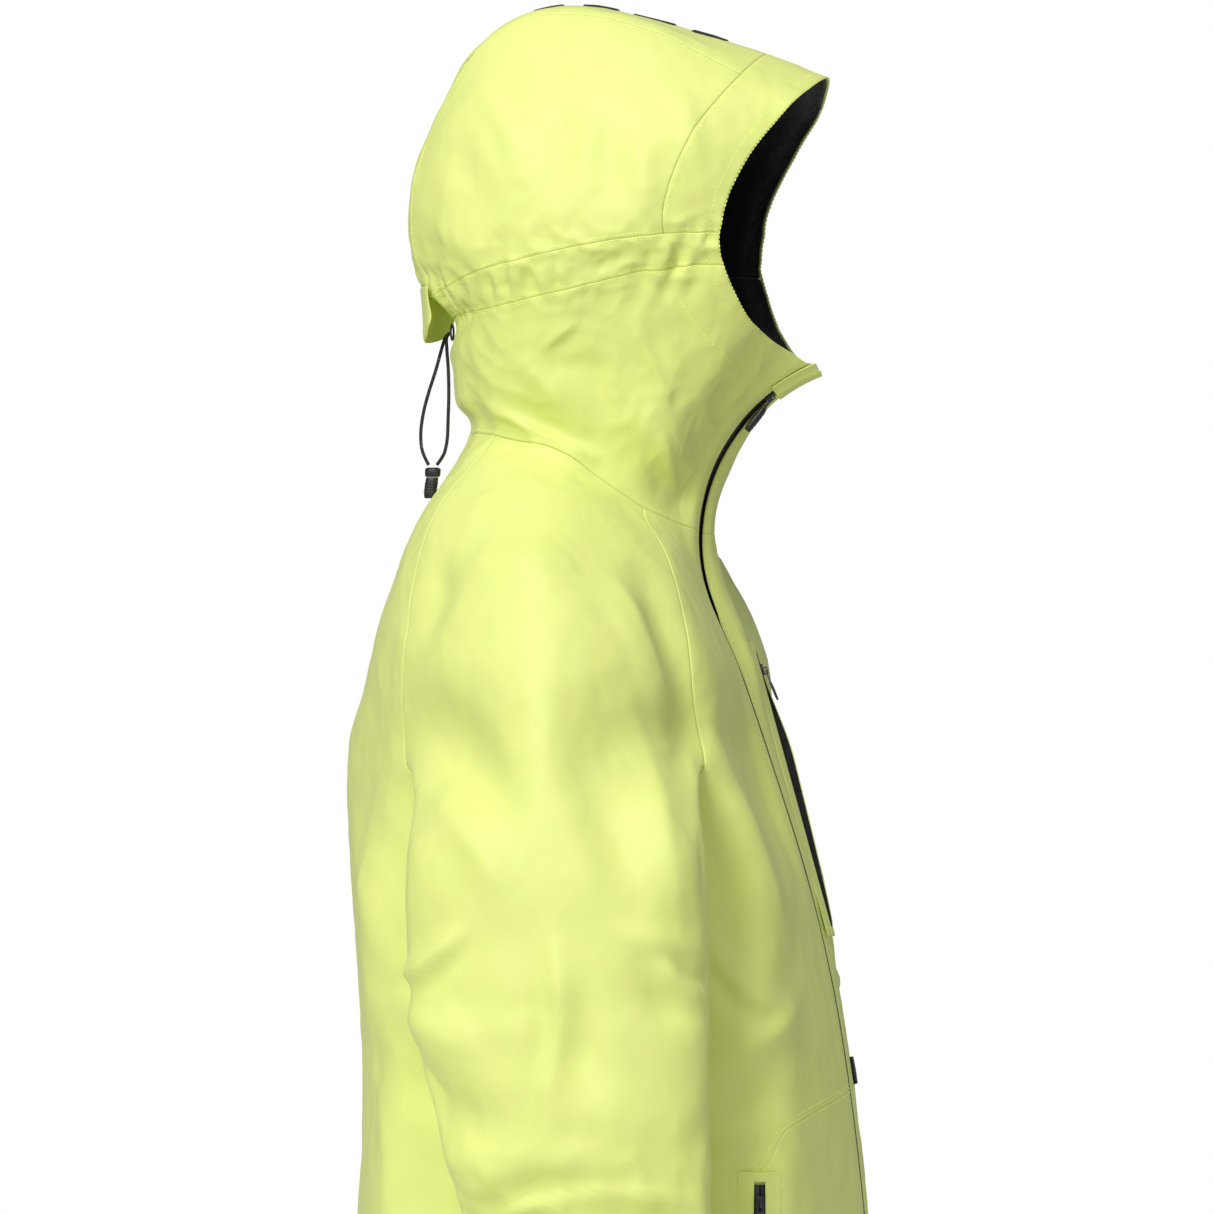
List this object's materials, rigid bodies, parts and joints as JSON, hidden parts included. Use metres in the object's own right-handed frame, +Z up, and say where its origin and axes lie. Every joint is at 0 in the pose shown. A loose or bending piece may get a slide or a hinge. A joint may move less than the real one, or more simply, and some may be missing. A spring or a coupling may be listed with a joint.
{
  "type": "ski jacket",
  "caption": "Hooded hardshell ski jacket with raglan sleeves, full front zip, zipped chest and hand pockets, stiff-brimmed hood with a rear cinch cord, and hook-and-loop cuffs.",
  "frame": {"origin": "centre of the wearer's neck base, where the collar seam's loop is centred", "axes": "+Z up, the wearer faces -Y, the wearer's left is +X"},
  "size_m": [0.6216, 0.4122, 1.1088],
  "materials": {
    "shell_fabric": "smooth woven nylon, faint sheen, neon yellow-green",
    "facing": "smooth woven nylon, matte, a shade darker than the shell",
    "lining": "matte black knit-backed lining",
    "pocket_bag": "matte black mesh",
    "zip_tape": "black coated woven tape with moulded coil",
    "zip_hardware": "dark satin coated metal",
    "zip_puller": "moulded black plastic, soft matte",
    "cord": "black braided cord with fine pale reflective flecks",
    "cord_end": "moulded black plastic, satin",
    "crown_trim": "dark matte film",
    "loop_tape": "black woven tape",
    "closure_patch": "dark grey hook-and-loop pile",
    "stiffener": "dark grey plastic sheet, hidden inside the brim"
  },
  "bodies": {
    "jacket_shell": {"back_panel": "shell_fabric", "body_lining": "lining", "brim_stiffener": "stiffener", "chest_pocket_bag": "pocket_bag", "chest_pocket_lip": "shell_fabric", "chest_pocket_zip_tape": "zip_tape", "cinch_band_left": "shell_fabric", "cinch_band_right": "shell_fabric", "cord_end_body": "cord_end", "cord_end_cap": "cord_end", "cord_eyelet": "zip_hardware", "crown_trim": "crown_trim", "cuff_left": "shell_fabric", "cuff_patch_left": "closure_patch", "cuff_patch_right": "closure_patch", "cuff_right": "shell_fabric", "front_panel_left": "shell_fabric", "front_panel_right": "shell_fabric", "front_tab": "loop_tape", "front_zip_box": "zip_hardware", "front_zip_storm_flap": "facing", "front_zip_tape_left": "zip_tape", "front_zip_tape_right": "zip_tape", "hand_pocket_left_bag": "pocket_bag", "hand_pocket_left_welt": "shell_fabric", "hand_pocket_left_zip_tape": "zip_tape", "hand_pocket_right_bag": "pocket_bag", "hand_pocket_right_welt": "shell_fabric", "hand_pocket_right_zip_tape": "zip_tape", "hanger_loop": "loop_tape", "hem_facing": "facing", "hood_brim": "shell_fabric", "hood_cord_inner_strand": "cord", "hood_cord_outer_strand": "cord", "hood_crown": "shell_fabric", "hood_lining": "lining", "hood_rear_flap": "shell_fabric", "hood_side_left": "shell_fabric", "hood_side_right": "shell_fabric", "neck_lining": "lining", "neck_panel_left": "shell_fabric", "neck_panel_right": "shell_fabric", "sleeve_lining_left": "lining", "sleeve_lining_right": "lining", "sleeve_outer_left": "shell_fabric", "sleeve_outer_right": "shell_fabric", "sleeve_under_left": "shell_fabric", "sleeve_under_right": "shell_fabric", "zip_garage": "shell_fabric"},
    "main_slider": {"front_zip_slider": "zip_hardware"},
    "main_puller": {"front_zip_puller": "zip_puller"},
    "chest_zip_slider": {"chest_pocket_zip_slider": "zip_hardware"},
    "chest_zip_puller": {"chest_pocket_zip_puller": "zip_puller"},
    "hand_zip_right_slider": {"hand_pocket_right_zip_slider": "zip_hardware"},
    "hand_zip_right_puller": {"hand_pocket_right_zip_puller": "zip_puller"},
    "cuff_flap_right": {"cuff_tab_right": "shell_fabric"},
    "hand_zip_left_slider": {"hand_pocket_left_zip_slider": "zip_hardware"},
    "hand_zip_left_puller": {"hand_pocket_left_zip_puller": "zip_puller"},
    "cuff_flap_left": {"cuff_tab_left": "shell_fabric"}
  },
  "joints": [
    {"name": "main_zip_travel", "type": "hinge", "parent": "jacket_shell", "child": "main_slider", "pos_m": [-0.0206, -0.226, -0.038], "axis": [-0.9867, 0, 0.1628], "range_deg": [0, 75]},
    {"name": "main_puller_swing", "type": "hinge", "parent": "main_slider", "child": "main_puller", "pos_m": [-0.00365, -0.13961, 0.06475], "axis": [-0.9867, 0, 0.1628], "range_deg": [0, 100]},
    {"name": "chest_zip_travel", "type": "slide", "parent": "jacket_shell", "child": "chest_zip_slider", "axis": [-0.1317, -0.2832, -0.95], "range_m": [0, 0.192]},
    {"name": "chest_zip_puller_swing", "type": "hinge", "parent": "chest_zip_slider", "child": "chest_zip_puller", "pos_m": [0.02231, -0.13124, -0.14016], "axis": [-0.9905, 0, 0.1373], "range_deg": [0, 100]},
    {"name": "hand_zip_right_travel", "type": "slide", "parent": "jacket_shell", "child": "hand_zip_right_slider", "axis": [-0.05, 0.0149, -0.9986], "range_m": [0, 0.127]},
    {"name": "hand_zip_right_puller_swing", "type": "hinge", "parent": "hand_zip_right_slider", "child": "hand_zip_right_puller", "pos_m": [-0.16468, -0.15533, -0.52547], "axis": [-0.3671, 0.9296, 0.0322], "range_deg": [0, 100]},
    {"name": "hand_zip_left_travel", "type": "slide", "parent": "jacket_shell", "child": "hand_zip_left_slider", "axis": [0.0497, 0.0152, -0.9986], "range_m": [0, 0.127]},
    {"name": "hand_zip_left_puller_swing", "type": "hinge", "parent": "hand_zip_left_slider", "child": "hand_zip_left_puller", "pos_m": [0.16456, -0.15535, -0.52547], "axis": [-0.371, -0.928, -0.0326], "range_deg": [0, 100]},
    {"name": "cuff_tab_lift_right", "type": "hinge", "parent": "jacket_shell", "child": "cuff_flap_right", "pos_m": [-0.2862, -0.14005, -0.68721], "axis": [-0.0276, 0.0811, 0.9963], "range_deg": [0, 70]},
    {"name": "cuff_tab_lift_left", "type": "hinge", "parent": "jacket_shell", "child": "cuff_flap_left", "pos_m": [0.2862, -0.14005, -0.68721], "axis": [-0.0276, -0.0811, -0.9963], "range_deg": [0, 70]}
  ]
}
